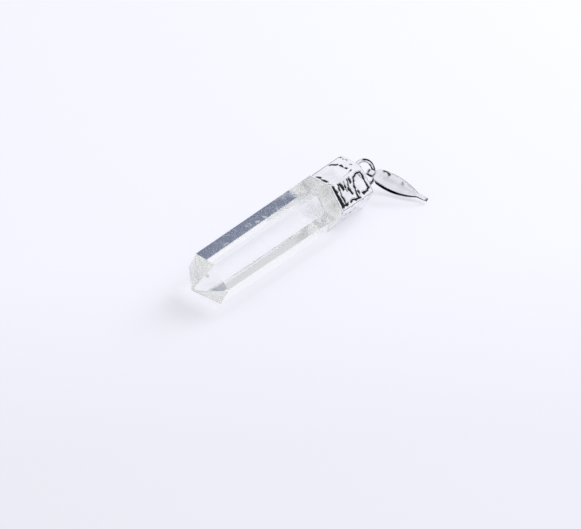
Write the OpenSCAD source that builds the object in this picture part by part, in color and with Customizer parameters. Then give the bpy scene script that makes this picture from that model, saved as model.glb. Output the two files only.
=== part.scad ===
// Crystal point pendant: a six-sided clear point held in a creased metal cap,
// with a ring soldered on the cap's closed end and a leaf bail folded through the ring.
// It lies on one long side face. X runs from the point toward the cap, Z is up,
// and the origin is in the middle of the face that it rests on.

/* [Crystal] */
// Distance from the axis to a corner, where the point begins
crystal_radius = 4.6; // [4:0.1:5.5]
// Length of the side faces that show, from the point to the cap
body_length = 25.8; // [18:0.2:34]
// Height of the six-sided point
point_height = 3.65; // [2.4:0.05:6]
// Growth of the section from the point to the cap, as a share
body_growth = 0.068; // [0.02:0.004:0.1]
// How far the front upper corner is drawn toward the back, as a share of the radius
front_corner_shift = 0.07; // [0:0.01:0.12]
// How far the back lower corner is pushed outward, as a share of the radius
back_corner_shift = 0.046; // [0:0.002:0.08]

/* [Cap] */
// Length of the cap's side faces
cap_length = 7.3; // [6.6:0.1:10]
// Thickness of the cap's wall at its rim
cap_wall = 0.6; // [0.5:0.05:0.9]
// Clearance between the crystal's ground end and the cap
cap_clearance = 0.05; // [0.03:0.01:0.12]
// Length of the crystal's ground end inside the cap
socket_depth = 5; // [3:0.1:5.6]
// Rounding of the cap's long corners, as a share of the radius cut away
corner_rounding = 0.045; // [0.02:0.005:0.07]
// Radius of the shallow dome that closes the cap
dome_radius = 26; // [18:1:40]

/* [Creases] */
// Height of the raised creases, pads and rim over the cap's faces
relief_height = 0.12; // [0.08:0.01:0.18]
// Width of the plain raised rim beside the crystal
rim_width = 0.5; // [0.3:0.05:0.8]
// Radius of a crease
crease_radius = 0.4; // [0.3:0.02:0.5]
// Length of a crease across a face
crease_length = 3.2; // [2.4:0.1:3.6]
// Distance from one crease to the next
crease_spacing = 1.2; // [1:0.05:1.4]
// Slant of the creases, in degrees
crease_slant = 9; // [0:1:14]
// Radius of the ball that shapes the pad near the cap's end
pad_curve = 10; // [7:0.5:14]

/* [Ring] */
// Outer radius of the soldered ring
ring_radius = 2.55; // [2.3:0.05:2.8]
// Diameter of the ring's wire
ring_wire = 0.7; // [0.6:0.05:0.75]
// Turn of the ring about the crystal's axis, in degrees
ring_turn = 66; // [58:2:72]
// Depth to which the ring is sunk in the cap's end
ring_sink = 0.3; // [0.2:0.05:0.4]

/* [Bail] */
// Distance from the ring's wire to the point where the bail's halves would meet
bail_reach = 10.5; // [9.8:0.1:12]
// Thickness of the bail's strip
bail_thickness = 0.35; // [0.25:0.05:0.4]
// Outer radius of the fold round the ring
fold_radius = 1.15; // [1.1:0.05:1.3]
// Radius of the long curve of each half, seen from the side
half_curve = 17; // [14:0.5:24]
// Greatest width of the leaf
leaf_width = 2.7; // [2.3:0.1:2.9]
// Radius of the leaf's edges, seen from the front
leaf_curve = 12.5; // [11:0.5:14]
// Width of the neck that folds round the ring
neck_width = 0.9; // [0.7:0.05:1.3]
// Width of the narrow tail at the tip
tail_width = 0.6; // [0.4:0.05:0.9]
// Length cut off the pinched tip
tip_cut = 0.4; // [0.2:0.05:0.6]
// Room between the fold's centre and the ring's wire
fold_slack = 0.3; // [0.2:0.05:0.4]
// Place of the bail round the ring, in degrees below the ring's far point
bail_place = 33; // [30:1:38]
// Turn of the bail away from the crystal's axis, in degrees
bail_turn = 71; // [64:1:76]
// Lean of the bail about its own length, in degrees
bail_lean = 37; // [34:1:40]

/* [Hidden] */
$fn = 96;

flat_share = sin(60);
face_distance = crystal_radius * flat_share;
// The lower side face lies level, so the axis rises toward the cap.
axis_tilt = atan(face_distance * body_growth / body_length);
cap_start = body_length + cap_clearance;
cap_end = cap_start + cap_length;
// The dome's top stands over the ends of the side faces by the dome's rise.
end_radius = crystal_radius * size_at(cap_end) * flat_share;
dome_rise = dome_radius - sqrt(dome_radius * dome_radius - end_radius * end_radius);
dome_top = cap_end + dome_rise;
rim_distance = face_distance * size_at(cap_start);
socket_share = (rim_distance - cap_wall) / rim_distance;
peg_share = (rim_distance - cap_wall - cap_clearance) / rim_distance;
wire_radius = ring_radius - ring_wire / 2;
ring_x = dome_top + ring_radius - ring_sink;

// Bail: the fold's circle, the long curves that touch it and the pinched tip.
fold_x = -fold_slack;
tip_run = bail_reach - fold_x;
curve_x = (tip_run * tip_run - fold_radius * (2 * half_curve - fold_radius)) / (2 * tip_run);
curve_drop = sqrt(half_curve * half_curve - (tip_run - curve_x) * (tip_run - curve_x));
touch_share = curve_x / (half_curve - fold_radius);
leaf_x = 3.3;
neck_x = 0.1;
// Where the ring's wire passes through the bail, before and after the pendant is laid down.
wire_x = ring_x + wire_radius * cos(bail_place);
wire_y = -wire_radius * sin(bail_place) * cos(ring_turn);
wire_z = -wire_radius * sin(bail_place) * sin(ring_turn);
laid_x = wire_x * cos(axis_tilt) - wire_z * sin(axis_tilt);
laid_z = wire_x * sin(axis_tilt) + wire_z * cos(axis_tilt) + face_distance * cos(axis_tilt);
// The bail sinks until its lowest spot, tip or belly, meets the ground.
ground_gap = 0.02;
stations = [for (i = [4:20]) i * (bail_reach - tip_cut) / 20];
bail_drop = asin(min([for (run = stations) (laid_z - ground_gap - 0.97 * half_depth(run)) / run]));

// Half thickness of the bail and half width of its leaf, at a run along it, and how deep they reach below its line.
function half_height(run) = sqrt(pow(half_curve, 2) - pow(run - fold_x - curve_x, 2)) - curve_drop;
function half_width(run) =
    max(tail_width / 2, leaf_width / 2 - leaf_curve + sqrt(pow(leaf_curve, 2) - pow(run - leaf_x, 2)));
function half_depth(run) = half_height(run) * cos(bail_lean) + half_width(run) * sin(bail_lean);

function size_at(x) = 1 + body_growth * x / body_length;
function corners(r) = [
    [r, 0],
    [r * 0.5, r * flat_share],
    [r * (front_corner_shift - 0.5), r * flat_share],
    [-r, 0],
    [-r * 0.5, -r * flat_share],
    [r * (0.5 + back_corner_shift), -r * flat_share]
];

// Lays the pendant down on its lower side face.
module laid() {
    translate([-body_length / 2, 0, face_distance * cos(axis_tilt)])
        rotate([0, -axis_tilt, 0])
            children();
}

// Side k of the section: direction of its outward normal, and its distance from the axis.
function side_angle(k) =
    let (p = corners(1)[k], q = corners(1)[(k + 1) % 6])
    atan2(p[0] - q[0], q[1] - p[1]);
function side_distance(k) =
    crystal_radius * (corners(1)[k][0] * cos(side_angle(k)) + corners(1)[k][1] * sin(side_angle(k)));

// Everything outside a plane that lies beyond side k and leans outward with x.
module outside_of(k, distance, lean) {
    rotate([side_angle(k) - 90, 0, 0])
        translate([0, 0, distance])
            rotate([0, -lean, 0])
                translate([-80, -30, 0])
                    cube([160, 60, 30]);
}

// A stretch of the six-sided body, from x1 to x2, with its section scaled by share.
module body(x1, x2, share) {
    difference() {
        translate([x1, -15, -15])
            cube([x2 - x1, 30, 30]);
        for (k = [0:5])
            outside_of(k, share * side_distance(k), atan(share * side_distance(k) * body_growth / body_length));
    }
}

// A stretch of six-sided body with straight sides.
module straight_body(x1, x2, share) {
    difference() {
        translate([x1, -15, -15])
            cube([x2 - x1, 30, 30]);
        for (k = [0:5])
            outside_of(k, share * side_distance(k) * size_at(cap_start), 0);
    }
}

module crystal() {
    color([0.86, 0.88, 0.92, 0.5])
        laid()
            union() {
                difference() {
                    body(-point_height - 1, body_length, 1);
                    for (k = [0:5])
                        outside_of(k, side_distance(k), atan(side_distance(k) / point_height));
                }
                straight_body(body_length - 1, body_length + socket_depth, peg_share);
            }
}

// Turns its children onto side face k, at x along the axis, with Z outward from the face.
module on_face(k, x) {
    rotate([side_angle(k) - 90, 0, 0])
        translate([x, 0, side_distance(k) * size_at(x)])
            rotate([0, -atan(side_distance(k) * body_growth / body_length), 0])
                children();
}

// A rounded crease whose top is level with the rim.
module crease(slant) {
    rotate([0, 0, slant])
        translate([0, 0, -crease_radius]) {
            rotate([90, 0, 0])
                cylinder(h = crease_length - 2 * crease_radius, r = crease_radius, center = true, $fn = 48);
            for (side = [-1, 1])
                translate([0, side * (crease_length / 2 - crease_radius), 0])
                    sphere(r = crease_radius, $fn = 48);
        }
}

module creases() {
    for (k = [0:5]) {
        lean = k % 2 == 0 ? 1 : -1;
        on_face(k, cap_start + rim_width + 0.75 * crease_spacing)
            crease(lean * crease_slant);
        on_face(k, cap_start + rim_width + 1.75 * crease_spacing)
            crease(-lean * crease_slant / 2);
        on_face(k, cap_end - 2.2)
            intersection() {
                translate([0, 0, -pad_curve])
                    sphere(r = pad_curve);
                cylinder(h = 1, r = 2.1, center = true);
            }
    }
}

module ring() {
    translate([ring_x, 0, 0])
        rotate([ring_turn - 90, 0, 0])
            rotate([90, 0, 0])
                rotate_extrude()
                    translate([wire_radius, 0])
                        circle(d = ring_wire, $fn = 48);
}

module cap_outside() {
    intersection() {
        union() {
            body(cap_start, cap_start + rim_width, 1);
            body(cap_start, dome_top + 0.1, 1 - relief_height / rim_distance);
            intersection() {
                body(cap_start, dome_top + 0.1, 1);
                creases();
            }
        }
        translate([dome_top - dome_radius, 0, 0])
            sphere(r = dome_radius, $fn = 128);
        rotate([0, 90, 0])
            cylinder(
                h = dome_top + 0.2,
                r1 = crystal_radius * (1 - corner_rounding),
                r2 = crystal_radius * (1 - corner_rounding) * size_at(dome_top + 0.2)
            );
    }
}

module cap() {
    color([0.8, 0.8, 0.82])
        laid() {
            union() {
                difference() {
                    cap_outside();
                    straight_body(cap_start - 0.5, body_length + socket_depth + cap_clearance, socket_share);
                }
                ring();
            }
        }
}

// Side view of the bail: two long curves that meet at the tip, and the round fold.
module half_lens(inset, x_from) {
    intersection() {
        translate([curve_x, -curve_drop])
            circle(r = half_curve - inset, $fn = 128);
        translate([curve_x, curve_drop])
            circle(r = half_curve - inset, $fn = 128);
        translate([x_from, -half_curve])
            square([2 * tip_run, 2 * half_curve]);
    }
}

module bail_side(inset) {
    translate([fold_x, 0]) {
        half_lens(inset, -(fold_radius - inset) * touch_share);
        circle(r = fold_radius - inset);
    }
}

// A leaf that is widest near the ring and runs out in a narrow tail.
module leaf() {
    intersection() {
        translate([leaf_x, leaf_width / 2 - leaf_curve])
            circle(r = leaf_curve, $fn = 128);
        translate([leaf_x, leaf_curve - leaf_width / 2])
            circle(r = leaf_curve, $fn = 128);
    }
    translate([leaf_x, -tail_width / 2])
        square([bail_reach - leaf_x - tip_cut, tail_width]);
}

// Room for the neck as far as neck_x, and past it for shoulders that widen by as much as they run.
module shoulders() {
    near = neck_width / 2;
    far = near + leaf_width;
    polygon([
        [-2 * leaf_width, near],
        [neck_x, near],
        [neck_x + leaf_width, far],
        [bail_reach + leaf_width, far],
        [bail_reach + leaf_width, -far],
        [neck_x + leaf_width, -far],
        [neck_x, -near],
        [-2 * leaf_width, -near]
    ]);
}

// Front view of the bail: the leaf with a neck and sloping shoulders.
module bail_front() {
    intersection() {
        leaf();
        shoulders();
    }
}

module bail() {
    color([0.84, 0.84, 0.86])
        translate([laid_x - body_length / 2, wire_y, laid_z])
            rotate([0, bail_drop, -bail_turn])
                rotate([bail_lean, 0, 0])
                    intersection() {
                        rotate([90, 0, 0])
                            linear_extrude(height = leaf_width + 2, center = true)
                                difference() {
                                    bail_side(0);
                                    bail_side(bail_thickness);
                                }
                        linear_extrude(height = 3 * half_curve, center = true)
                            bail_front();
                    }
}

crystal();
cap();
bail();
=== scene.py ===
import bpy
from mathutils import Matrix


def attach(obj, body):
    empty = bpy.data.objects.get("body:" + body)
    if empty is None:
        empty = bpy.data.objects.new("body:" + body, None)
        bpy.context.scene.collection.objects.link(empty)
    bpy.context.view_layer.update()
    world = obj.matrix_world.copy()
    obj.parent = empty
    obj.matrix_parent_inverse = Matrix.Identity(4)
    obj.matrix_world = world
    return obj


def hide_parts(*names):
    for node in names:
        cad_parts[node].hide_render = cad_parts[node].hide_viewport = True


bl_info = {
    "name": "Crystal point pendant",
    "version": (1, 0, 0),
    "blender": (4, 5, 0),
    "location": "3D View > Sidebar > Pendant",
    "description": "Dresses a crystal point pendant with clear quartz, creased silver and a studio stage",
    "category": "Add Mesh",
}

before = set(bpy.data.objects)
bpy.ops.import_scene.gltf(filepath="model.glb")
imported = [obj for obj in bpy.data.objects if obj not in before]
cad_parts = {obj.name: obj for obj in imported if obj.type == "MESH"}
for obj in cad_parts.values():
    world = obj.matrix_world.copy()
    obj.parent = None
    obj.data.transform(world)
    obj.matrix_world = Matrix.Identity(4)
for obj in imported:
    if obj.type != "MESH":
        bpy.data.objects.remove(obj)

import bpy
import numpy as np
from bpy.props import FloatProperty, FloatVectorProperty, IntProperty, PointerProperty
from mathutils import Matrix

# Sizes and places of the pendant are in millimetres, with the crystal's own axis along X and the corners
# beside its point at X = 0. Turns are in degrees.
MM = 0.001

# The crystal: radius at its first corners, length of the sides and of the point, growth of the section along
# the sides, and how far two corners lie off the regular hexagon, as a share of the radius.
RADIUS = 4.6
BODY = 25.8
POINT = 3.65
GROWTH = 0.068
FRONT_SHIFT = 0.07
BACK_SHIFT = 0.046
FLAT = np.sqrt(0.75)
SECTION = np.array([
    [1, 0],
    [0.5, FLAT],
    [FRONT_SHIFT - 0.5, FLAT],
    [-1, 0],
    [-0.5, -FLAT],
    [0.5 + BACK_SHIFT, -FLAT],
])
TILT = np.arctan(RADIUS * FLAT * GROWTH / BODY)

# The cap: clearance to the crystal, length, wall, radius of its long corners and of its rim, depth of its
# socket and radius of its dome.
CLEARANCE = 0.05
CAP_LENGTH = 7.3
CAP_WALL = 0.6
CAP_CORNER = 0.6
LIP = 0.1
SOCKET = 5.0
DOME = 26.0
CAP_START = BODY + CLEARANCE
CAP_END = CAP_START + CAP_LENGTH
# Depth of the cap's rippled side, corner and dome under the plain form.
SIDE_INSET = 0.042
CORNER_INSET = 0.04
DOME_INSET = 0.02

# The soldered ring: outer radius, wire, turn below level and depth in the dome.
RING = 2.55
WIRE = 0.7
RING_TURN = 66.0
RING_SINK = 0.3

# The bail seen from the side: reach from the ring's wire to where its two arcs would meet, length cut off
# there, radius and place of the fold, and radius of the arcs.
BAIL_REACH = 10.5
TIP_CUT = 0.4
FOLD = 1.15
FOLD_X = -0.3
CURVE = 17.0
# The bail seen from above: half width, place and edge radius of the leaf, half widths of tail and neck, and
# the place where the shoulders start.
LEAF_HALF = 1.35
LEAF_X = 3.3
LEAF_CURVE = 12.5
TAIL = 0.3
NECK = 0.45
NECK_X = 0.1
# The bail's place round the ring, its turn to the side and its lean.
BAIL_PLACE = 33.0
BAIL_TURN = 71.0
BAIL_LEAN = 37.0
# Height of the bail's lowest spot over the ground, and the share of its depth below its line that counts
# there.
GROUND_GAP = 0.02
DEPTH_SHARE = 0.97
# How much narrower the visible strip is than the solid on each side, and half the gap kept between its
# halves.
TRIM = 0.013
HALF_GAP = 0.012


def size_at(x):
    """Growth of the section: one at the first corners, and a steady share more toward the cap."""
    return 1 + GROWTH * x / BODY


def turned(first, second, angle):
    """Two coordinates turned from the first toward the second."""
    c, s = np.cos(angle), np.sin(angle)
    return first * c - second * s, first * s + second * c


def laid(points):
    """Lays the axis down: turned by TILT about Y, raised by the lower face's distance, and moved back by
    half of the body's length."""
    x, z = turned(points[..., 0], points[..., 2], TILT)
    return np.stack([x - BODY / 2, points[..., 1], z + RADIUS * FLAT * np.cos(TILT)], -1)


def dome_rise():
    """Height of the dome over the cap's end: its radius less the distance from its middle to that end."""
    return DOME - np.sqrt(DOME**2 - (RADIUS * size_at(CAP_END) * FLAT) ** 2)


def ring_middle():
    """Place of the ring's middle along the axis."""
    return CAP_END + dome_rise() + RING - RING_SINK


def side_angles():
    """Direction of each side's outward normal, from the two corners that it joins."""
    p, q = SECTION, np.roll(SECTION, -1, 0)
    return np.arctan2(p[:, 0] - q[:, 0], q[:, 1] - p[:, 1])


def side_distances():
    """Distance of each side from the axis: its corner measured along its normal."""
    a = side_angles()
    return RADIUS * (SECTION[:, 0] * np.cos(a) + SECTION[:, 1] * np.sin(a))


def smooth(low, high, value):
    """Zero below low, one above high, and an S-curve between."""
    t = np.clip((value - low) / (high - low), 0, 1)
    return t * t * (3 - 2 * t)


def squarish(value, power):
    """A sine or cosine drawn toward its ends, which squares the circle that the two trace."""
    return np.sign(value) * np.abs(value) ** power


def mesh_object(name, points, faces, shade=True):
    """A mesh object at the origin, from points in millimetres and faces as rows of corner numbers."""
    mesh = bpy.data.meshes.new(name)
    mesh.from_pydata((points * MM).tolist(), [], [list(f) for f in faces])
    mesh.validate()
    mesh.update()
    mesh.polygons.foreach_set("use_smooth", np.full(len(mesh.polygons), shade))
    piece = bpy.data.objects.new(name, mesh)
    bpy.context.scene.collection.objects.link(piece)
    return piece


def grid_faces(rows, columns, wrap_rows=False):
    """Corner numbers of a grid's quads. Its columns close on themselves, and its rows too where asked."""
    last = rows if wrap_rows else rows - 1
    i, j = np.meshgrid(np.arange(last), np.arange(columns), indexing="ij")
    i, j = i.ravel(), j.ravel()
    i2, j2 = (i + 1) % rows, (j + 1) % columns
    return np.stack([i * columns + j, i2 * columns + j, i2 * columns + j2, i * columns + j2], 1)


def point_values(piece, name, values):
    """Stores one number for each point of a piece, for its material to read."""
    stored = piece.data.attributes.new(name, "FLOAT", "POINT")
    stored.data.foreach_set("value", values.astype(np.float32))


def capped_grid(grid, first, last):
    """Points and faces of a grid of rings, closed by a fan to a first and a last point."""
    rows, columns = grid.shape[:2]
    points = np.concatenate([grid.reshape(-1, 3), first[None], last[None]])
    j = np.arange(columns)
    a, b = rows * columns, rows * columns + 1
    low = np.stack([np.full(columns, a), j, (j + 1) % columns], 1)
    end = (rows - 1) * columns
    high = np.stack([np.full(columns, b), end + (j + 1) % columns, end + j], 1)
    return points, [*grid_faces(rows, columns).tolist(), *low.tolist(), *high.tolist()]


def outward(piece):
    """Turns the faces of a closed mesh outward if its signed volume is below zero."""
    mesh = piece.data
    n = len(mesh.vertices)
    co = np.empty(n * 3)
    mesh.vertices.foreach_get("co", co)
    co = co.reshape(-1, 3)
    mesh.calc_loop_triangles()
    tri = np.empty(len(mesh.loop_triangles) * 3, int)
    mesh.loop_triangles.foreach_get("vertices", tri)
    p = co[tri.reshape(-1, 3)]
    if np.einsum("ij,ij->i", p[:, 0], np.cross(p[:, 1], p[:, 2])).sum() < 0:
        mesh.flip_normals()


def new_material(name):
    """An empty node material and its Principled shader, joined to the output."""
    material = bpy.data.materials.new(name)
    material.use_nodes = True
    return material, material.node_tree, material.node_tree.nodes["Principled BSDF"]


def feed(tree, source, socket):
    """Links a socket to a node's output, or sets it to a fixed value."""
    if isinstance(source, bpy.types.NodeSocket):
        tree.links.new(source, socket)
    else:
        socket.default_value = source


def joined(tree, operation, first, second):
    """A Math node on two sockets, or on a socket and a number."""
    node = tree.nodes.new("ShaderNodeMath")
    node.operation = operation
    feed(tree, first, node.inputs[0])
    feed(tree, second, node.inputs[1])
    return node.outputs[0]


def mapped(tree, source, low, high, to_low=0.0, to_high=1.0):
    """A Map Range node from source, clamped."""
    node = tree.nodes.new("ShaderNodeMapRange")
    names = ("Value", "From Min", "From Max", "To Min", "To Max")
    for name, value in zip(names, (source, low, high, to_low, to_high)):
        feed(tree, value, node.inputs[name])
    return node.outputs["Result"]


def mixed(tree, factor, first, second, blend="MIX"):
    """A colour between first and second, by factor. Each is a socket or three numbers. The node's colour
    sockets share their names with others, so they are found by number."""
    node = tree.nodes.new("ShaderNodeMix")
    node.data_type = "RGBA"
    node.blend_type = blend
    feed(tree, factor, node.inputs["Factor"])
    for colour, socket in ((first, node.inputs[6]), (second, node.inputs[7])):
        feed(tree, colour if isinstance(colour, bpy.types.NodeSocket) else (*colour, 1), socket)
    return node.outputs[2]


def bumped(tree, shader, height, strength, distance):
    """A Bump node from height into the shader's Normal."""
    node = tree.nodes.new("ShaderNodeBump")
    for name, value in (("Height", height), ("Strength", strength), ("Distance", distance)):
        feed(tree, value, node.inputs[name])
    feed(tree, node.outputs["Normal"], shader.inputs["Normal"])


def coordinates(tree):
    """Outputs X, Y and Z of a place on the piece, in metres."""
    place = tree.nodes.new("ShaderNodeTexCoord")
    split = tree.nodes.new("ShaderNodeSeparateXYZ")
    feed(tree, place.outputs["Object"], split.inputs["Vector"])
    return split.outputs


def point_value(tree, name):
    """The number that each point of the piece holds under a name."""
    node = tree.nodes.new("ShaderNodeAttribute")
    node.attribute_name = name
    return node.outputs["Fac"]


def wear_group():
    """Fine wear from two noises on Object coordinates. The fine one gives a height and, where it is high,
    specks: the larger their share, the lower they start. The coarse one gives smears."""
    group = bpy.data.node_groups.new("Fine wear", "ShaderNodeTree")
    face = group.interface
    for name, default in (("Specks per metre", 4000.0), ("Speck share", 0.4), ("Smears per metre", 300.0)):
        face.new_socket(name, in_out="INPUT", socket_type="NodeSocketFloat").default_value = default
    for name in ("Height", "Smears", "Specks"):
        face.new_socket(name, in_out="OUTPUT", socket_type="NodeSocketFloat")
    source, result = group.nodes.new("NodeGroupInput"), group.nodes.new("NodeGroupOutput")
    place = group.nodes.new("ShaderNodeTexCoord")
    noises = []
    for size, detail in (("Specks per metre", 4), ("Smears per metre", 3)):
        noise = group.nodes.new("ShaderNodeTexNoise")
        noise.inputs["Detail"].default_value = detail
        feed(group, place.outputs["Object"], noise.inputs["Vector"])
        feed(group, source.outputs[size], noise.inputs["Scale"])
        noises.append(noise.outputs["Fac"])
    grain, smears = noises
    start = joined(group, "SUBTRACT", 0.85, source.outputs["Speck share"])
    specks = mapped(group, grain, start, joined(group, "ADD", start, 0.12))
    for name, value in (("Height", grain), ("Smears", smears), ("Specks", specks)):
        feed(group, value, result.inputs[name])
    return group


def worn(tree, **values):
    """Outputs of the wear group, which is made once and placed in a material with values of its own. An
    underscore in a value's name is a space."""
    node = tree.nodes.new("ShaderNodeGroup")
    node.node_tree = bpy.data.node_groups.get("Fine wear") or wear_group()
    for name, value in values.items():
        node.inputs[name.replace("_", " ")].default_value = value
    return node.outputs


def near_spots(tree, spots):
    """One at the middle of any spot and zero past its reach. A spot is a place and a reach in
    millimetres."""
    place = tree.nodes.new("ShaderNodeTexCoord")
    total = None
    for *middle, reach in spots:
        away = tree.nodes.new("ShaderNodeVectorMath")
        away.operation = "DISTANCE"
        feed(tree, place.outputs["Object"], away.inputs[0])
        away.inputs[1].default_value = [c * MM for c in middle]
        value = mapped(tree, away.outputs["Value"], 0.2 * reach * MM, reach * MM, 1, 0)
        total = value if total is None else joined(tree, "MAXIMUM", total, value)
    return total


# Spots on the crystal: places on the finished piece and reaches, in millimetres.
# Rubbed patches on its upper faces.
SCUFFS = (
    (-2.8, 1.0, 8.2, 0.9),
    (-1.2, 0.4, 8.2, 0.7),
    (0.2, 0.5, 8.2, 0.8),
    (3.4, 0.2, 8.3, 1.0),
    (7.8, 1.0, 8.35, 1.5),
    (10.2, 1.4, 8.4, 1.3),
    (-8.3, 0.4, 8.1, 0.6),
    (-3.0, -3.6, 4.8, 0.6),
    (6.0, 3.9, 4.0, 0.8),
)
# Small dark pits in the crystal's faces.
PITS = ((-14.21, -1.5, 6.23, 0.42), (-13.9, -1.2, 6.6, 0.2), (12.2, -1.9, 8.1, 0.3), (12.5, 0.6, 8.5, 0.25))
# Specked grey just under the crystal's faces beside the cap: partly clouding, partly a painted grey
# reflection of the cap.
CLOUD_AND_CAP_REFLECTION_SPOTS = ((10.9, 0.9, 8.4, 2.6), (11.9, -2.2, 8.0, 2.2), (12.0, -3.9, 6.0, 1.6))


def quartz_material(settings):
    """Clear quartz: smooth glass with rubbed specks on its upper face, a few rubbed patches, a few dark pits
    and specked grey beside the cap, partly clouding and partly a painted reflection of the cap."""
    material, tree, shader = new_material("clear quartz")
    shader.inputs["Transmission Weight"].default_value = 1
    shader.inputs["IOR"].default_value = settings.refraction
    marks = worn(tree, Specks_per_metre=5500, Speck_share=0.34, Smears_per_metre=1500)
    # Partly clouding and partly painted reflection: the glass beside the cap is greyed with specks.
    cloudy = joined(tree, "MULTIPLY", near_spots(tree, CLOUD_AND_CAP_REFLECTION_SPOTS), mapped(tree, marks["Specks"], 0, 1, 0.55, 1))
    dark = joined(tree, "MAXIMUM", near_spots(tree, PITS), cloudy)
    feed(tree, mixed(tree, dark, settings.colour, (0.4, 0.42, 0.42)), shader.inputs["Base Color"])
    top = mapped(tree, coordinates(tree)["Z"], 7.8 * MM, 8.0 * MM, 0.15, 1)
    rubbed = joined(tree, "MULTIPLY", mapped(tree, marks["Specks"], 0, 1, 0, settings.rub), top)
    patchy = mapped(tree, marks["Smears"], 0.42, 0.54, 0, settings.scuff)
    scuffed = joined(tree, "MULTIPLY", near_spots(tree, SCUFFS), patchy)
    feed(tree, joined(tree, "MAXIMUM", rubbed, scuffed), shader.inputs["Roughness"])
    bumped(tree, shader, marks["Height"], 0.05, 0.00002)
    return material


def veil_material():
    """Cloudy sheets inside the quartz: pale and mostly clear, with specks, and clear again toward a sheet's
    rim. They glow faintly with their own colour, a painted light."""
    material, tree, shader = new_material("quartz veil")
    shader.inputs["Roughness"].default_value = 1
    shader.inputs["Specular IOR Level"].default_value = 0
    marks = worn(tree, Specks_per_metre=3200, Speck_share=0.38, Smears_per_metre=700)
    colour = mixed(tree, marks["Smears"], (0.78, 0.79, 0.78), (0.92, 0.93, 0.93))
    feed(tree, colour, shader.inputs["Base Color"])
    # Painted light: the sheets glow with their own colour, though nothing lights them.
    feed(tree, colour, shader.inputs["Emission Color"])
    shader.inputs["Emission Strength"].default_value = 0.25
    cloud = mapped(tree, marks["Smears"], 0.38, 0.62, 0.02, 0.1)
    cloud = joined(tree, "ADD", cloud, mapped(tree, marks["Specks"], 0, 1, 0, 0.2))
    feed(tree, joined(tree, "MULTIPLY", cloud, point_value(tree, "cloud")), shader.inputs["Alpha"])
    return material


def ground_material(settings):
    """The crystal's ground end, bedded in grey cement inside the cap, with a painted glow of its own."""
    material, tree, shader = new_material("ground end")
    marks = worn(tree, Specks_per_metre=4200, Speck_share=0.3, Smears_per_metre=700)
    colour = mixed(tree, marks["Specks"], (0.93, 0.935, 0.925), (0.54, 0.545, 0.54))
    feed(tree, colour, shader.inputs["Base Color"])
    # Painted light: the end glows with its own colour, standing in for light that reaches it through the
    # glass.
    feed(tree, colour, shader.inputs["Emission Color"])
    shader.inputs["Emission Strength"].default_value = settings.end_glow
    feed(tree, mapped(tree, marks["Specks"], 0, 1, 0.5, 0.8), shader.inputs["Roughness"])
    bumped(tree, shader, marks["Height"], 0.2, 0.00003)
    return material


def silver_material(name, settings, smears, dim=1.0):
    """Bright plated silver with faint smears and hairline grain, darkened by painted shade and dark
    reflections where its points are marked as creased. Smears are counted per metre, and dim is the share of
    the silver's brightness."""
    material, tree, shader = new_material(name)
    shader.inputs["Metallic"].default_value = 1
    marks = worn(tree, Specks_per_metre=3500, Speck_share=0.28, Smears_per_metre=smears)
    bright = np.array(settings.colour) * dim
    colour = mixed(tree, mapped(tree, marks["Smears"], 0.35, 0.6), bright * 0.88, bright)
    # Painted shade and dark reflections: points marked by their crease value take the painted shade colour.
    colour = mixed(tree, point_value(tree, "crease"), colour, settings.painted_shade_colour)
    feed(tree, colour, shader.inputs["Base Color"])
    rough = mapped(tree, marks["Smears"], 0.35, 0.65, settings.roughness * 1.6, settings.roughness * 0.7)
    feed(tree, rough, shader.inputs["Roughness"])
    bumped(tree, shader, marks["Height"], 0.12, 0.00002)
    return material


def crystal_mesh():
    """Rings of six corners beside the point, at the shoulder by the cap and at both ends of the ground end,
    with a fan to the point. A ring's corner is the section's corner times the radius and a share."""
    rim = size_at(CAP_START)
    ground = rim * (1 - (CAP_WALL + CLEARANCE) / (RADIUS * FLAT * rim))
    rings = ((0.0, 1.0), (BODY, size_at(BODY)), (BODY, ground), (BODY + SOCKET, ground))
    grid = np.stack([np.concatenate([np.full((6, 1), x), SECTION * RADIUS * share], 1) for x, share in rings])
    return capped_grid(grid, np.array([-POINT, 0, 0]), np.array([BODY + SOCKET, 0, 0]))


def inside_quartz(points, share):
    """Draws points in toward the axis where they pass a share of the way to the crystal's sides."""
    a, d = side_angles(), side_distances()
    x = np.minimum(points[..., 0], BODY - 0.2)
    y, z = points[..., 1], points[..., 2]
    reach = (y[..., None] * np.cos(a) + z[..., None] * np.sin(a)) / (d * share)
    over = np.maximum(reach.max(-1) / size_at(x), 1)
    return np.stack([x, y / over, z / over], -1)


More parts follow.
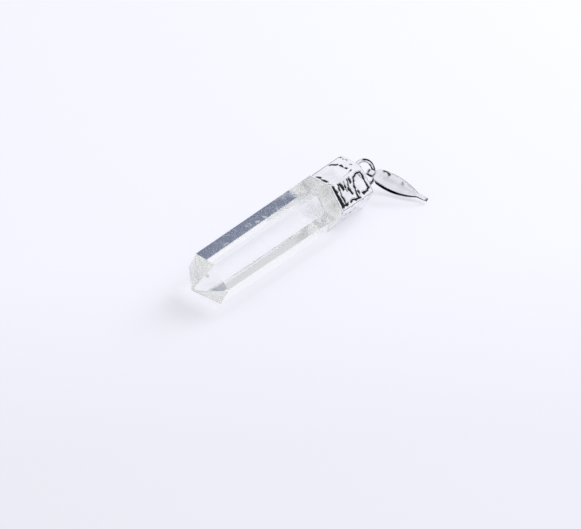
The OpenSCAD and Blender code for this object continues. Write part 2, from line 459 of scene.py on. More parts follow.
def veil_mesh(count):
    """Thin wavy sheets near the cap. Each is a closed lens in rings about its own middle, 0.03 mm thick
    there, turned by seeded angles, raised by a ripple and drawn inside the crystal's sides. The cloud fades
    at its rim."""
    rng = np.random.default_rng(11)
    out, back = 14, 13
    t = np.linspace(0, 2 * np.pi, 48, endpoint=False)[None, :]
    r = np.concatenate([np.linspace(0.08, 1, out), np.linspace(0.96, 0.08, back)])[:, None]
    skin = np.concatenate([np.ones(out), -np.ones(back)])[:, None]
    all_points, all_faces, clouds, first = [], [], [], 0
    for k in range(count):
        middle = np.array([rng.uniform(20.9, 25.3), rng.uniform(-1.6, 1.6), rng.uniform(-1.6, 1.6)])
        normal = np.array([1.0, rng.uniform(-0.9, 0.9), rng.uniform(-0.9, 0.9)])
        normal /= np.linalg.norm(normal)
        across = np.cross(normal, (0, 0, 1.0))
        across /= np.linalg.norm(across)
        along = np.cross(normal, across)
        size = rng.uniform(2.0, 3.4) * (1 + 0.18 * np.sin(3 * t + k) + 0.1 * np.sin(5 * t + 2 * k))
        u, v = size * r * np.cos(t), size * r * np.sin(t)
        w = 0.2 * ripple(u, v, 0 * u, 5.0, 40 + k) + 0.015 * skin * np.sqrt(1 - r**2)
        sheet = middle + u[..., None] * across + v[..., None] * along + w[..., None] * normal
        points, faces = capped_grid(sheet, sheet[0].mean(0), sheet[-1].mean(0))
        all_points.append(inside_quartz(points, 0.93))
        all_faces.extend([[i + first for i in face] for face in faces])
        clouds.append(np.append(np.repeat(smooth(1.0, 0.5, r[:, 0]), t.size), [1, 1]))
        first += len(points)
    return np.concatenate(all_points), all_faces, np.concatenate(clouds)


def rounded_section(radius, arc, side):
    """The six-sided section with round corners, at size one: straight runs between arcs about corners moved
    inward. Arc and side are the points in each. Gives points, normals, each point's side and its place
    across that side, positive toward the side's first corner."""
    a, d = side_angles(), side_distances()
    n = np.stack([np.cos(a), np.sin(a)], 1)
    before = np.roll(n, 1, 0)
    det = before[:, 0] * n[:, 1] - before[:, 1] * n[:, 0]
    db, dn = np.roll(d, 1) - radius, d - radius
    inner = np.stack([db * n[:, 1] - dn * before[:, 1], dn * before[:, 0] - db * n[:, 0]], 1) / det[:, None]
    turn = (a - np.roll(a, 1)) % (2 * np.pi)
    t = (np.arange(arc) / arc)[None, :, None]
    angle = np.roll(a, 1)[:, None, None] + turn[:, None, None] * t
    round_n = np.concatenate([np.cos(angle), np.sin(angle)], -1)
    round_p = inner[:, None, :] + radius * round_n
    s = (np.arange(side) / side)[None, :, None]
    start = inner + radius * n
    stop = np.roll(inner, -1, 0) + radius * n
    flat_p = start[:, None, :] + (stop - start)[:, None, :] * s
    flat_n = np.repeat(n[:, None, :], side, 1)
    points = np.concatenate([round_p, flat_p], 1)
    normals = np.concatenate([round_n, flat_n], 1)
    half = arc // 2
    which = np.repeat(np.arange(6)[:, None], arc + side, 1)
    which[:, :half] = (which[:, :half] - 1) % 6
    across = np.stack([np.sin(a), -np.cos(a)], 1)[which]
    place = (points * across).sum(-1)
    return points.reshape(-1, 2), normals.reshape(-1, 2), which.ravel(), place.ravel()


def wander(x, u, seed):
    """Two slow seeded waves over (x, u), about -1 to 1, that make a drawn line waver and its width vary."""
    rng = np.random.default_rng(seed)
    out = []
    for size in (0.75, 1.1):
        waves = rng.normal(size=(6, 2))
        waves *= (2 * np.pi / size / np.linalg.norm(waves, axis=1) * rng.uniform(0.6, 1.6, 6))[:, None]
        phase = rng.uniform(0, 2 * np.pi, 6)
        out.append(np.sin(np.stack(np.broadcast_arrays(x, u), -1) @ waves.T + phase).sum(-1) / 2.4)
    return out


def stroke(x, u, line, width, power=2):
    """A bell curve of the distance from a line through (x, u) places: one on the line. A higher power gives
    it a flatter top and steeper sides."""
    line = np.array(line, float)
    nearest = np.full(np.broadcast(x, u).shape, 99.0)
    for (ax, au), (bx, bu) in zip(line[:-1], line[1:]):
        dx, du = bx - ax, bu - au
        t = np.clip(((x - ax) * dx + (u - au) * du) / (dx * dx + du * du), 0, 1)
        nearest = np.minimum(nearest, np.hypot(x - ax - t * dx, u - au - t * du))
    return np.exp(-((nearest / width) ** power))


# Creases of the cap: places along a side from the rim and across it, width and depth, in millimetres.
# On the side that faces up and forward.
FRONT_CREASES = (
    (((0.34, 1.75), (0.34, 1.4), (0.5, 0.75), (0.52, 0.05), (0.53, -0.95), (0.5, -1.55)), 0.28, 0.2),
    (((1.5, 1.7), (1.37, 1.1), (1.22, 0.0), (1.28, -1.05), (1.28, -1.75)), 0.13, 0.15),
    (((1.85, 1.6), (2.09, 1.2), (2.11, 0.6)), 0.21, 0.17),
    (((2.74, 1.45), (2.58, 0.8), (2.6, 0.1)), 0.1, 0.15),
    (((3.57, 1.6), (3.43, 1.2), (3.28, 0.6)), 0.11, 0.15),
    (((3.91, 1.55), (3.96, 0.95)), 0.19, 0.16),
    (((3.0, 0.45), (3.21, -0.05), (3.3, -0.65)), 0.18, 0.16),
    (((0.6, -1.72), (1.1, -1.66), (1.55, -1.68)), 0.21, 0.17),
    (((2.3, -1.6), (2.76, -1.5), (3.8, -1.88), (4.4, -1.9)), 0.16, 0.16),
    (((6.54, 1.42), (5.83, 1.6), (5.2, 1.5), (4.73, 1.15), (4.3, 0.3), (4.15, -0.5), (4, -1.8)), 0.15, 0.16),
    (((6.58, 1.4), (6.6, 0.25), (6.6, -0.6), (6.75, -1.35)), 0.16, 0.17),
    (((6.75, -1.35), (6.14, -1.6), (5.32, -1.55)), 0.19, 0.17),
    (((4.45, -0.75), (4.6, -1.4)), 0.12, 0.1),
    (((6.0, 1.25), (6.14, 0.8)), 0.1, 0.08),
    (((1.86, -2.38), (2.35, -2.36)), 0.09, 0.11),
    (((4.3, -2.36), (4.82, -2.38)), 0.09, 0.11),
    (((6.0, -2.36), (6.3, -2.38)), 0.08, 0.09),
)
# On the side that faces up and back.
TOP_CREASES = (
    (((4.1, 1.85), (4.45, 1.5), (5.0, 1.03), (5.16, 0.33), (5.19, -0.7)), 0.2, 0.1),
    (((0.42, 1.25), (0.6, 0.75)), 0.2, 0.16),
    (((0.38, 0.1), (0.52, -0.65)), 0.25, 0.17),
    (((0.26, -1.33), (0.33, -1.92), (0.85, -2.05)), 0.13, 0.12),
    (((1.8, -2.05), (3.47, -1.93), (4.94, -1.57), (5.63, -1.23)), 0.09, 0.058),
    (((6.7, 2.05), (6.66, 1.8)), 0.12, 0.1),
    (((6.85, 1.5), (6.7, 1.2)), 0.12, 0.09),
    (((6.9, 0.95), (6.8, 0.7)), 0.11, 0.09),
    (((6.4, -0.39), (6.55, -0.65)), 0.1, 0.08),
)


def side_creases(k):
    """Creases of a side that the camera doesn't see, in the same manner: crooked slanted grooves one after
    another, then two arcs round an uneven pillow, with a dent inside. An arc's point is the pillow's middle
    plus its reach times a squarish circle."""
    rng = np.random.default_rng(20 + k)
    creases = []
    pillow, half_length, half_width = 5.6, 1.0, 1.5
    x, lean = 0.4, rng.choice((-1, 1)) * 0.4
    while x < 3.8:
        top, bottom = rng.uniform(0.6, 1.9), rng.uniform(-1.9, 0.1)
        crooked = x + np.linspace(-lean, lean, 4) + rng.uniform(-0.2, 0.2, 4)
        line = np.stack([crooked, np.linspace(top, bottom, 4)], 1)
        creases.append((line, rng.uniform(0.09, 0.24), rng.uniform(0.11, 0.18)))
        x += rng.uniform(0.45, 0.95)
    for start in (0.2 + k, 3.5 + k):
        turn = start + np.linspace(0, rng.uniform(1.5, 2.4), 6)
        reach = rng.uniform(0.82, 1.12, 6)
        along = pillow + half_length * reach * squarish(np.cos(turn), 0.7)
        aside = half_width * reach * squarish(np.sin(turn), 0.7)
        creases.append((np.stack([along, aside], 1), rng.uniform(0.12, 0.2), 0.16))
    middle = np.array([pillow, 0]) + rng.uniform(-0.3, 0.3, 2)
    creases.append(((middle, middle + rng.uniform(-0.6, 0.6, 2)), 0.14, 0.1))
    return creases


def crease_depth(x, u, k, settings):
    """How far the metal lies under the plain form of the cap's side k: a sunk panel and its creases, drawn by
    a wavering hand. Sides 1 and 2 face the camera. Side 3 faces the floor in front; its creases are shallow,
    which also keeps its painted crease shade light."""
    panel = smooth(0.3, 0.9, x) * smooth(2.3, 1.6, np.abs(u)) * smooth(CAP_LENGTH - 0.1, CAP_LENGTH - 0.8, x)
    creases = FRONT_CREASES if k == 2 else TOP_CREASES if k == 1 else side_creases(k)
    strength = settings.creases * (0.4 if k == 3 else 1.0)
    shift, heavy = wander(x, u, 60 + k)
    depth = 0.0
    for line, width, deep in creases:
        bell = stroke(x + 0.06 * shift, u + 0.06 * heavy, line, width * settings.crease_width, 4)
        depth = np.maximum(depth, bell * deep * strength * (1 + 0.25 * heavy))
    return (0.02 * panel + depth) * smooth(2.62, 2.3, np.abs(u)) * smooth(0.1, 0.2, x)


def ripple(x, y, z, size, seed):
    """A gentle hammered ripple: nine sine waves in seeded directions, added and divided by their number."""
    rng = np.random.default_rng(seed)
    waves = rng.normal(size=(9, 3))
    waves *= (2 * np.pi / size / np.linalg.norm(waves, axis=1) * rng.uniform(0.6, 1.5, 9))[:, None]
    phase = rng.uniform(0, 2 * np.pi, 9)
    p = np.stack([x, y, z], -1)
    return np.sin(p @ waves.T + phase).sum(-1) / 9


def cap_mesh(settings):
    """The cap as one closed skin round the axis, and how dark its painted crease shade makes each of its
    points. Rows follow a profile: socket wall outward, round rim, creased side, round end corner and shallow
    dome. Each row is the rounded section times a share, moved in along its normal."""
    points, normals, which, across = rounded_section(CAP_CORNER, 12, 56)
    count = len(points)
    reach = np.linalg.norm(points, axis=1)
    rim = size_at(CAP_START)
    socket = rim * (1 - CAP_WALL / (RADIUS * FLAT * rim))
    floor_x = BODY + SOCKET + CLEARANCE
    rows, dark = [], []

    def row(x, share, inward=0.0, shade=0.0):
        x, share, inward, shade = (np.broadcast_to(value, (count,)) for value in (x, share, inward, shade))
        rows.append(np.concatenate([x[:, None], points * share[:, None] - normals * inward[:, None]], 1))
        dark.append(shade)

    for share in (0.3, 0.7, 0.95, 1.0):
        row(floor_x, socket * share)
    for x in np.linspace(floor_x - 0.3, CAP_START + LIP + 0.02, 8):
        row(x, socket)
    for a in np.linspace(0, np.pi / 2, 5):
        row(CAP_START + LIP * (1 - np.sin(a)), socket, -LIP * (1 - np.cos(a)))
    for a in np.linspace(0, np.pi / 2, 6):
        row(CAP_START + LIP * (1 - np.cos(a)), rim, LIP * (1 - np.sin(a)))

    fillet = settings.end_rounding / MM
    centre = CAP_END + dome_rise() - DOME
    edge = reach * size_at(CAP_END) - fillet
    turn = centre + np.sqrt((DOME - fillet) ** 2 - edge**2)
    start = CAP_START + LIP
    for t in np.linspace(0.02, 1, 104):
        x = start + (turn - start) * t
        deep = np.zeros(count)
        for k in range(6):
            side = which == k
            deep[side] = crease_depth(x[side] - CAP_START, across[side], k, settings)
        p = points * size_at(x)[:, None]
        inward = deep + SIDE_INSET + 0.012 * ripple(x, p[:, 0], p[:, 1], 1.6, 4)
        # Painted shade and dark reflections: each point is darkened where its creases run deep.
        row(x, size_at(x), inward * smooth(0.0, 0.08, x - start), smooth(0.065, 0.105, deep))
    last = np.pi / 2 - np.arcsin(edge / (DOME - fillet))
    for t in np.linspace(0.12, 1, 9):
        a = last * t
        row(turn + fillet * np.sin(a), (edge + fillet) / reach, CORNER_INSET + fillet * (1 - np.cos(a)))
    rest = edge + fillet * np.cos(last)
    for t in np.linspace(0.96, 0.04, 24):
        r = rest * t
        x = centre + np.sqrt(DOME**2 - r**2)
        p = points * (r / reach)[:, None]
        row(x - DOME_INSET * (1 + ripple(x, p[:, 0], p[:, 1], 2.2, 9)), r / reach)
    ends = np.array([[floor_x, 0, 0], [centre + DOME - DOME_INSET, 0, 0]])
    return *capped_grid(np.stack(rows), *ends), np.concatenate([*dark, [0, 0]])


def painted_dark_reflections(x, u, marks, seed, waver, vary):
    """How dark the painted reflections and shade make the metal at (x, u). A mark is a line, its width and
    its darkness; the line wavers by two amounts, along and across, and its width varies by a share."""
    shift, heavy = wander(x, u, seed)
    dark = 0.0
    for line, width, tone in marks:
        mark = stroke(x + waver[0] * shift, u + waver[1] * heavy, line, width * (1 + vary * heavy))
        dark = np.maximum(dark, np.minimum(tone * mark, 1))
    return dark


# Painted dark reflections on the ring, in millimetres round it from its far point and round its wire: line,
# width, darkness.
RING_PAINTED_REFLECTIONS = (
    (((2.6, 1.85), (1.2, 1.85), (-0.3, 1.75)), 0.17, 1.25),
    (((1.0, 1.2), (0.1, 1.1), (-1.6, 1.1)), 0.2, 1.25),
    (((-2.6, 1.5), (-3.4, 1.6)), 0.12, 0.9),
    (((5.0, 0.3), (5.9, 0.5)), 0.14, 0.9),
)


def ring_mesh(settings):
    """The soldered ring's grid, and how dark its painted dark reflections make each place: a circle of wire
    in the plane of X and a direction RING_TURN below level. Its wire thickens where it meets the dome, as
    solder does."""
    big, small = RING - WIRE / 2, WIRE / 2
    a = np.linspace(0, 2 * np.pi, 120, endpoint=False)[:, None]
    b = np.linspace(0, 2 * np.pi, 28, endpoint=False)[None, :]
    near = np.exp(-(((a - np.pi) / 0.5) ** 2))
    thick = small * (1 - 0.02 * np.cos(3 * a + 1)) + settings.solder / MM * near
    reach = big + thick * np.cos(b)
    x = ring_middle() + reach * np.cos(a)
    y, z = turned(reach * np.sin(a), -thick * np.sin(b), np.radians(RING_TURN))
    round_ring, round_wire = np.broadcast_arrays(big * ((a + np.pi) % (2 * np.pi) - np.pi), small * b)
    return np.stack([x, y, z], -1), painted_dark_reflections(round_ring, round_wire, RING_PAINTED_REFLECTIONS, 90, (0.05, 0.04), 0.3)


# Painted dark reflections and shade on the bail's upper half: places along and across, width in millimetres,
# and darkness.
BAIL_PAINTED_REFLECTIONS = (
    (((1.4, 1.15), (1.9, 1.12), (2.4, 0.95), (2.75, 0.7)), 0.17, 1.3),
    (((2.3, 1.15), (2.8, 0.85)), 0.12, 1.3),
    (((5.16, 0.64), (5.5, 0.3)), 0.17, 0.75),
    (((6.1, 0.66), (6.3, 0.55)), 0.09, 0.4),
    (((6.7, 0.5), (6.9, 0.38)), 0.08, 0.45),
    (((7.3, 0.35), (7.5, 0.2)), 0.08, 0.3),
    (((0, 0.86), (0.4, 0.95)), 0.1, 0.9),
    (((3, 1.26), (4.4, 1.2), (5.8, 0.98), (7.4, 0.55)), 0.09, 0.4),
    (((0.4, 0.2), (2.4, 0.05), (4.4, -0.1), (6.2, 0.0), (7.8, -0.05)), 0.25, 0.16),
    (((9.9, -0.3), (10.1, 0.3)), 0.2, 0.9),
    (((0.3, -0.5), (0.2, 0.5)), 0.1, 1.2),
    (((-0.75, -0.5), (-0.85, 0.5)), 0.12, 1.1),
)


def bow(x):
    """Half the leaf's width at x without neck and tail: a circle of LEAF_CURVE through its widest place."""
    return LEAF_HALF - LEAF_CURVE + np.sqrt(np.maximum(LEAF_CURVE**2 - (x - LEAF_X) ** 2, 0))


def leaf_half(x):
    """Half the leaf's width at x: a neck whose shoulders widen by as much as they run, the bow and a tail."""
    shoulders = NECK + np.maximum(x - NECK_X, 0)
    return np.where(x < LEAF_X, np.minimum(bow(x), shoulders), np.maximum(TAIL, bow(x)))


def bail_arc():
    """Middle of the upper long arc, as its place along the bail from the fold and its depth below the bail's
    line. The fold's circle touches the arc's circle from inside, and the arc meets that line at the reach,
    which gives both."""
    run = BAIL_REACH - FOLD_X
    middle = (run**2 - FOLD * (2 * CURVE - FOLD)) / (2 * run)
    return middle, np.sqrt(CURVE**2 - (run - middle) ** 2)


def bail_path(half):
    """The strip's middle line seen from the side, and its outward normals: in from the tip along the upper
    arc, round the fold and out along the lower arc. Half is half the strip's thickness."""
    middle, drop = bail_arc()
    end = BAIL_REACH - TIP_CUT - FOLD_X - 0.01
    big, small = CURVE - half, FOLD - half
    tip = np.arctan2(np.sqrt(big**2 - (end - middle) ** 2), end - middle)
    join = np.arctan2(drop, -middle)
    a = np.linspace(tip, join, 90)
    arc = np.stack([np.cos(a), np.sin(a)], 1)
    f = np.linspace(join, 2 * np.pi - join, 40)[1:-1]
    fold = np.stack([np.cos(f), np.sin(f)], 1)
    upper = big * arc + (middle, -drop)
    flip = np.array([1, -1])
    path = np.concatenate([upper, small * fold, upper[::-1] * flip])
    return path, np.concatenate([arc, fold, arc[::-1] * flip])


def bail_mesh(settings):
    """The bail as a strip carried along its path. Its section is a flat oval as wide as the leaf is there,
    and its edges bend in toward the other half, the near one farther. It thins where its halves would meet
    at the tip."""
    half = settings.thickness / MM / 2
    path, normal = bail_path(half)
    x = path[:, :1] + FOLD_X
    outer = path + normal * half
    half = np.minimum(half, (np.abs(outer[:, 1:]) - HALF_GAP) / 2)
    path = outer - normal * half
    wide = leaf_half(x) - TRIM
    b = np.linspace(0, 2 * np.pi, 40, endpoint=False)[None, :]
    y = wide * squarish(np.cos(b), 0.5)
    bend = settings.crown / MM * smooth(1.2, 3.2, x) * smooth(9.5, 7.5, x)
    pinch = 1 + np.where(y < 0, 8, 1.5) * smooth(3.2, 6.0, x)
    off = half * squarish(np.sin(b), 0.5) - bend * pinch * (y / wide) ** 2
    grid = np.stack([x + normal[:, :1] * off, y, path[:, 1:] + normal[:, 1:] * off], -1)
    points, faces = capped_grid(grid, grid[0].mean(0), grid[-1].mean(0))
    # Painted shade: the strip's inner face, inside the loop, is darkened fully.
    inside = smooth(0.0, -0.5, np.sin(b)) * np.ones_like(x)
    outside = (path[:, 1:] > 0) * (np.sin(b) >= 0)
    # Painted dark reflections on the outer face of the upper half.
    dark = np.maximum(inside, painted_dark_reflections(x, y, BAIL_PAINTED_REFLECTIONS, 80, (0.06, 0.06), 0.2) * outside)
    return bail_placed(points), faces, np.concatenate([dark.ravel(), [1, 1]])


def bail_placed(points):
    """The bail in its place: leant about its own line, sunk about the ring, turned to the side and moved to
    its place on the ring's wire."""
    along, down = turned(RING - WIRE / 2, 0, np.radians(-BAIL_PLACE))
    spot = laid(np.array([ring_middle() + along, *turned(down, 0, np.radians(RING_TURN))]))
    x, y, z = points.T
    y, z = turned(y, z, np.radians(BAIL_LEAN))
    z, x = turned(z, x, bail_fall(spot[2]))
    x, y = turned(x, y, np.radians(-BAIL_TURN))
    return np.stack([x, y, z], 1) + spot


def bail_fall(height):
    """How far the bail sinks about a place on the ring at this height: at each station, the angle that
    brings its lower edge to the ground, and the least of these."""
    middle, drop = bail_arc()
    run = np.arange(4, 21) * (BAIL_REACH - TIP_CUT) / 20
    half_height = np.sqrt(CURVE**2 - (run - FOLD_X - middle) ** 2) - drop
    lean = np.radians(BAIL_LEAN)
    depth = half_height * np.cos(lean) + np.maximum(TAIL, bow(run)) * np.sin(lean)
    return np.arcsin(((height - GROUND_GAP - DEPTH_SHARE * depth) / run).min())


class QuartzSettings(bpy.types.PropertyGroup):
    refraction: FloatProperty(
        name="Refractive index", description="How strongly the quartz bends light",
        default=1.5435, min=1.3, max=2,
    )
    colour: FloatVectorProperty(
        name="Colour", description="Tint of the quartz",
        default=(0.985, 0.989, 0.995), size=3, subtype="COLOR", min=0, max=1,
    )
    rub: FloatProperty(
        name="Rub", description="Roughness of the rubbed specks",
        default=0.32, min=0, max=1, subtype="FACTOR",
    )
    scuff: FloatProperty(
        name="Scuff", description="Roughness of the rubbed patches",
        default=0.5, min=0, max=1, subtype="FACTOR",
    )
    # Strength of the ground end's painted glow.
    end_glow: FloatProperty(
        name="End glow", description="Light held in the ground end and its cement",
        default=0.17, min=0, max=1, subtype="FACTOR",
    )
    veils: IntProperty(
        name="Veils", description="Number of cloudy sheets near the cap",
        default=7, min=0, max=12,
    )
    edge: FloatProperty(
        name="Edge", description="Width of the softened edges",
        default=0.00003, min=0, max=0.0003, unit="LENGTH",
    )


class SilverSettings(bpy.types.PropertyGroup):
    colour: FloatVectorProperty(
        name="Colour", description="Colour of the plated silver",
        default=(0.93, 0.93, 0.955), size=3, subtype="COLOR", min=0, max=1,
    )
    # Colour of the painted shade and dark reflections on the cap, the ring and the bail.
    painted_shade_colour: FloatVectorProperty(
        name="Crease colour", description="Colour of the tarnish left in the deepest creases",
        default=(0.03, 0.03, 0.035), size=3, subtype="COLOR", min=0, max=1,
    )
    roughness: FloatProperty(
        name="Roughness", description="Blur of the silver's reflections",
        default=0.05, min=0, max=1, subtype="FACTOR",
    )
    creases: FloatProperty(
        name="Creases", description="Depth of the creases, as a share of the usual",
        default=1.0, min=0, max=1.5, subtype="FACTOR",
    )
    crease_width: FloatProperty(
        name="Crease width", description="Width of the creases, as a share of the usual",
        default=1.1, min=0.3, max=2, subtype="FACTOR",
    )
    end_rounding: FloatProperty(
        name="End rounding", description="Radius of the cap's rounded end corner",
        default=0.0003, min=0.0002, max=0.0008, unit="LENGTH",
    )
    solder: FloatProperty(
        name="Solder", description="How much the ring thickens at its joint",
        default=0.00016, min=0, max=0.0003, unit="LENGTH",
    )
    thickness: FloatProperty(
        name="Bail thickness", description="Thickness of the bail's strip",
        default=0.00024, min=0.0002, max=0.00035, unit="LENGTH",
    )
    crown: FloatProperty(
        name="Bail crown", description="How far the bail's edges bend in",
        default=0.00004, min=0, max=0.0003, unit="LENGTH",
    )


class StageSettings(bpy.types.PropertyGroup):
    floor: FloatVectorProperty(
        name="Floor", description="Colour of the floor",
        default=(0.927, 0.932, 1.0), size=3, subtype="COLOR", min=0, max=1,
    )
    floor_share: FloatProperty(
        name="Floor share", description="Share of the light that the floor gives back",
        default=0.22, min=0, max=1, subtype="FACTOR",
    )
    floor_glow: FloatProperty(
        name="Floor glow", description="Light that comes up through the floor",
        default=0.64, min=0, max=1, subtype="FACTOR",
    )
    sky: FloatVectorProperty(
        name="Sky", description="Colour of the soft light all round",
        default=(0.945, 0.95, 1.0), size=3, subtype="COLOR", min=0, max=1,
    )
    sky_strength: FloatProperty(
        name="Sky strength", description="Strength of the soft light all round",
        default=1.0, min=0, max=4,
    )
    gathered: FloatProperty(
        name="Gathered light", description="Light that the crystal gathers on the floor under it",
        default=0.17, min=0, max=1, subtype="FACTOR",
    )
    key_power: FloatProperty(
        name="Key power", description="Power of the large soft light",
        default=3.3, min=0, max=50, unit="POWER",
    )


class PendantSettings(bpy.types.PropertyGroup):
    quartz: PointerProperty(type=QuartzSettings)
    silver: PointerProperty(type=SilverSettings)
    stage: PointerProperty(type=StageSettings)


# Dark cards round the stage: name, distance in mm, turn from +X toward +Y and rise above the floor in
# degrees, heights in mm between which the colour changes, the lower and the upper colour, and whether glass
# sees them or metal does.
SLATE = (0.11, 0.14, 0.23)
PALE = (0.6, 0.61, 0.62)
MIST = (0.67, 0.68, 0.69)
BLACK = (0.01, 0.01, 0.015)
CARDS = (
    ("card_for_quartz", 90, (-105, -32), (0, 23), (15, 21), SLATE, MIST, True),
    ("card_for_tip", 90, (-32, 12), (0, 23), (-2, 14), SLATE, PALE, True),
    ("card_behind", 90, (82, 165), (0, 20), (8, 26), SLATE, PALE, True),
    ("card_front", 550, (-115, 5), (0.5, 12), (0, 120), BLACK, BLACK, False),
    ("card_back", 550, (15, 75), (10, 27), (0, 120), BLACK, BLACK, False),
    ("card_right", 550, (-38, 12), (0, 40), (0, 120), BLACK, BLACK, False),
)


def card_mesh(distance, turn, rise):
    """Part of a sphere about the pendant, between two turns and two rises."""
    turns, rises = 30, 6
    a, e = np.meshgrid(np.linspace(*turn, turns), np.linspace(*rise, rises), indexing="ij")
    a, e = np.radians(a), np.radians(e)
    points = distance * np.stack([np.cos(e) * np.cos(a), np.cos(e) * np.sin(a), np.sin(e)], -1)
    i, j = np.meshgrid(np.arange(turns - 1), np.arange(rises - 1), indexing="ij")
    first = (i * rises + j).ravel()
    return points.reshape(-1, 3), np.stack([first, first + rises, first + rises + 1, first + 1], 1).tolist()


def card_material(name, heights, low, high):
    """A card's even shade: one colour below the first height, another above the second, and a blend
    between."""
    material = bpy.data.materials.new(name)
    material.use_nodes = True
    tree = material.node_tree
    tree.nodes.clear()
    glow = tree.nodes.new("ShaderNodeEmission")
    result = tree.nodes.new("ShaderNodeOutputMaterial")
    shade = mapped(tree, coordinates(tree)["Z"], heights[0] * MM, heights[1] * MM)
    feed(tree, mixed(tree, shade, low, high), glow.inputs["Color"])
    feed(tree, glow.outputs["Emission"], result.inputs["Surface"])
    return material


def floor_points():
    """Corners of a six-metre square just under the pendant."""
    side = np.array([[-1, -1], [1, -1], [1, 1], [-1, 1]]) * 3000.0
    return np.concatenate([side, np.full((4, 1), -0.03)], 1)


def under(tree, source, near, far):
    """One where the source's size is below near, zero past far, both in millimetres."""
    return mapped(tree, joined(tree, "ABSOLUTE", source, 0), near * MM, far * MM, 1, 0)


def floor_material(stage):
    """A pale translucent sheet lit from below: part of its light is its own, it dims a little toward the
    camera, and it is brighter under the crystal, which gathers light there."""
    material, tree, shader = new_material("pale floor")
    shader.inputs["Roughness"].default_value = 0.9
    shader.inputs["Specular IOR Level"].default_value = 0.05
    shader.inputs["Emission Strength"].default_value = 1
    place = coordinates(tree)
    behind = mapped(tree, joined(tree, "ADD", place["X"], place["Y"]), -0.06, 0)
    colour = np.array(stage.floor)
    given, lit = (
        mixed(tree, behind, colour * share * 0.93, colour * share)
        for share in (stage.floor_share, stage.floor_glow)
    )
    along = under(tree, joined(tree, "ADD", place["X"], 2 * MM), 12, 15)
    across = under(tree, joined(tree, "SUBTRACT", place["Y"], 1 * MM), 3, 5.5)
    gathered = mapped(tree, joined(tree, "MULTIPLY", along, across), 0, 1, 0, stage.gathered)
    feed(tree, given, shader.inputs["Base Color"])
    feed(tree, mixed(tree, gathered, lit, colour, "ADD"), shader.inputs["Emission Color"])
    return material


# The key light: its place and width in metres, and its colour.
KEY_PLACE = np.array([0.39, -0.1, 0.33])
KEY_WIDTH = 0.3
KEY_COLOUR = (0.97, 0.975, 1.0)
# The camera, fitted to the photograph: focal length and picture width in pixels, sensor width in
# millimetres, its directions right, up and back, and its place in metres.
FOCAL_LENGTH = 1800
PICTURE_WIDTH = 581
SENSOR_WIDTH = 36
CAMERA_AXES = (
    (0.70669, -0.704808, -0.061933),
    (0.482488, 0.416046, 0.770786),
    (-0.517489, -0.574588, 0.634077),
)
CAMERA_PLACE = (-0.1494966, -0.171217, 0.1848489)


def placed(axes, spot):
    """A matrix from three directions and a place."""
    return Matrix([*np.column_stack([*axes, spot]).tolist(), (0, 0, 0, 1)])


def soft_world(scene, stage):
    """An even pale sky."""
    scene.world = bpy.data.worlds.new("Soft studio")
    scene.world.use_nodes = True
    sky = scene.world.node_tree.nodes["Background"]
    sky.inputs["Color"].default_value = (*stage.sky, 1)
    sky.inputs["Strength"].default_value = stage.sky_strength


def stand_cards():
    """The dark cards, seen only by light that passes through glass or only by light that metal throws
    back."""
    for name, distance, turn, rise, heights, low, high, glass in CARDS:
        card = mesh_object(name, *card_mesh(distance, turn, rise), False)
        card.data.materials.append(card_material(name, heights, low, high))
        card.visible_camera = card.visible_shadow = card.visible_diffuse = False
        card.visible_transmission, card.visible_glossy = glass, not glass


def key_light(scene, power):
    """A large square light that faces the pendant and that neither metal nor glass shows."""
    lamp = bpy.data.lights.new("Key", "AREA")
    lamp.shape = "RECTANGLE"
    lamp.size = lamp.size_y = KEY_WIDTH
    lamp.energy = power
    lamp.color = KEY_COLOUR
    key = bpy.data.objects.new("Key", lamp)
    back = KEY_PLACE / np.linalg.norm(KEY_PLACE)
    right = np.cross((0, 0, 1.0), back)
    right /= np.linalg.norm(right)
    key.matrix_world = placed((right, np.cross(back, right), back), KEY_PLACE)
    key.visible_glossy = key.visible_transmission = False
    scene.collection.objects.link(key)


def photo_camera(scene):
    """The camera in the photograph's place."""
    lens = bpy.data.cameras.new("Camera")
    lens.sensor_width = SENSOR_WIDTH
    lens.lens = FOCAL_LENGTH / PICTURE_WIDTH * SENSOR_WIDTH
    lens.clip_start, lens.clip_end = 0.01, 20
    camera = bpy.data.objects.new("Camera", lens)
    camera.matrix_world = placed(CAMERA_AXES, CAMERA_PLACE)
    scene.collection.objects.link(camera)
    scene.camera = camera


class PENDANT_OT_stage(bpy.types.Operator):
    """Makes the floor, the soft light, the dark cards round the stage and the camera"""

    bl_idname = "pendant.stage"
    bl_label = "Stage"

    def execute(self, context):
        scene = context.scene
        stage = scene.pendant.stage
        scene.view_settings.view_transform = "Standard"
        scene.cycles.max_bounces = 24
        scene.cycles.transmission_bounces = 24
        scene.cycles.glossy_bounces = 12
        scene.cycles.transparent_max_bounces = 48
        scene.cycles.diffuse_bounces = 6
        soft_world(scene, stage)
        floor = mesh_object("floor", floor_points(), [(0, 1, 2, 3)], False)
        floor.data.materials.append(floor_material(stage))
        stand_cards()
        key_light(scene, stage.key_power)
        photo_camera(scene)
        return {"FINISHED"}


class PENDANT_OT_quartz(bpy.types.Operator):
    """Makes the clear point with its ground end"""

    bl_idname = "pendant.quartz"
    bl_label = "Quartz point"

    def execute(self, context):
        settings = context.scene.pendant.quartz
        points, faces = crystal_mesh()
        piece = mesh_object("quartz_point", laid(points), faces, False)
        outward(piece)
        piece.data.materials.append(quartz_material(settings))
        piece.data.materials.append(ground_material(settings))
        # The faces of the ground end are those whose middle lies beyond the end of the sides.
        middle = np.array([p.center.x for p in piece.data.polygons]) / MM
        piece.data.polygons.foreach_set("material_index", (middle > BODY / 2 - 0.2).astype(int))
        soft = piece.modifiers.new("Soft edges", "BEVEL")
        soft.width = settings.edge
        soft.segments = 2
        soft.limit_method = "ANGLE"
        soft.angle_limit = np.radians(20)
        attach(piece, "root")
        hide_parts("crystal")
        return {"FINISHED"}


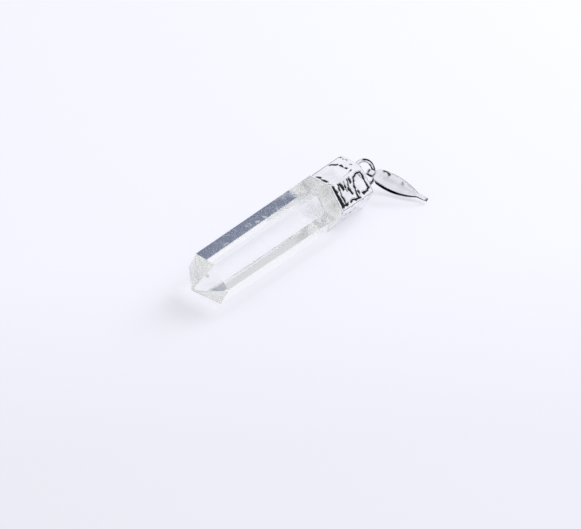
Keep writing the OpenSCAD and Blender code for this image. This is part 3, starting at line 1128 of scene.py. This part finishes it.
class PENDANT_OT_veils(bpy.types.Operator):
    """Makes the cloudy sheets inside the crystal, near the cap"""

    bl_idname = "pendant.veils"
    bl_label = "Veils"

    def execute(self, context):
        points, faces, cloud = veil_mesh(context.scene.pendant.quartz.veils)
        piece = mesh_object("quartz_veils", laid(points), faces)
        point_values(piece, "cloud", cloud)
        outward(piece)
        piece.data.materials.append(veil_material())
        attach(piece, "root")
        return {"FINISHED"}


class PENDANT_OT_cap(bpy.types.Operator):
    """Makes the creased silver cap and its soldered ring"""

    bl_idname = "pendant.cap"
    bl_label = "Cap and ring"

    def execute(self, context):
        settings = context.scene.pendant.silver
        silver = silver_material("creased silver", settings, 500)
        points, faces, dark = cap_mesh(settings)
        shell = mesh_object("cap_shell", laid(points), faces)
        # Painted shade in the creases, stored for the silver to read.
        point_values(shell, "crease", dark)
        grid, marks = ring_mesh(settings)
        ring_faces = grid_faces(*grid.shape[:2], wrap_rows=True).tolist()
        ring = mesh_object("cap_ring", laid(grid).reshape(-1, 3), ring_faces)
        # Painted dark reflections on the ring, stored for the silver to read.
        point_values(ring, "crease", marks.ravel())
        for piece in (shell, ring):
            outward(piece)
            piece.data.materials.append(silver)
            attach(piece, "root")
            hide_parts("cap")
        return {"FINISHED"}


class PENDANT_OT_bail(bpy.types.Operator):
    """Makes the folded leaf bail"""

    bl_idname = "pendant.bail"
    bl_label = "Bail"

    def execute(self, context):
        settings = context.scene.pendant.silver
        points, faces, dark = bail_mesh(settings)
        piece = mesh_object("bail_leaf", points, faces)
        # Painted shade and dark reflections on the bail, stored for the silver to read.
        point_values(piece, "crease", dark)
        outward(piece)
        piece.data.materials.append(silver_material("bail silver", settings, 350, dim=0.9))
        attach(piece, "root")
        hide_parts("bail")
        return {"FINISHED"}


class PENDANT_PT_panel(bpy.types.Panel):
    """Lists the pendant's settings and steps"""

    bl_label = "Pendant"
    bl_idname = "PENDANT_PT_panel"
    bl_space_type = "VIEW_3D"
    bl_region_type = "UI"
    bl_category = "Pendant"

    def draw(self, context):
        pendant = context.scene.pendant
        for group, step in ((pendant.stage, "stage"), (pendant.quartz, "quartz"), (pendant.silver, "cap")):
            box = self.layout.box()
            for name in group.__annotations__:
                box.prop(group, name)
            box.operator(f"pendant.{step}")
        self.layout.operator("pendant.veils")
        self.layout.operator("pendant.bail")


CLASSES = (
    QuartzSettings,
    SilverSettings,
    StageSettings,
    PendantSettings,
    PENDANT_OT_stage,
    PENDANT_OT_quartz,
    PENDANT_OT_veils,
    PENDANT_OT_cap,
    PENDANT_OT_bail,
    PENDANT_PT_panel,
)


def register():
    for c in CLASSES:
        bpy.utils.register_class(c)
    bpy.types.Scene.pendant = PointerProperty(type=PendantSettings)


def unregister():
    del bpy.types.Scene.pendant
    for c in reversed(CLASSES):
        bpy.utils.unregister_class(c)


def main():
    register()
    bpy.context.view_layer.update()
    bpy.ops.pendant.stage()
    bpy.ops.pendant.quartz()
    bpy.ops.pendant.veils()
    bpy.ops.pendant.cap()
    bpy.ops.pendant.bail()


if __name__ == "__main__":
    main()
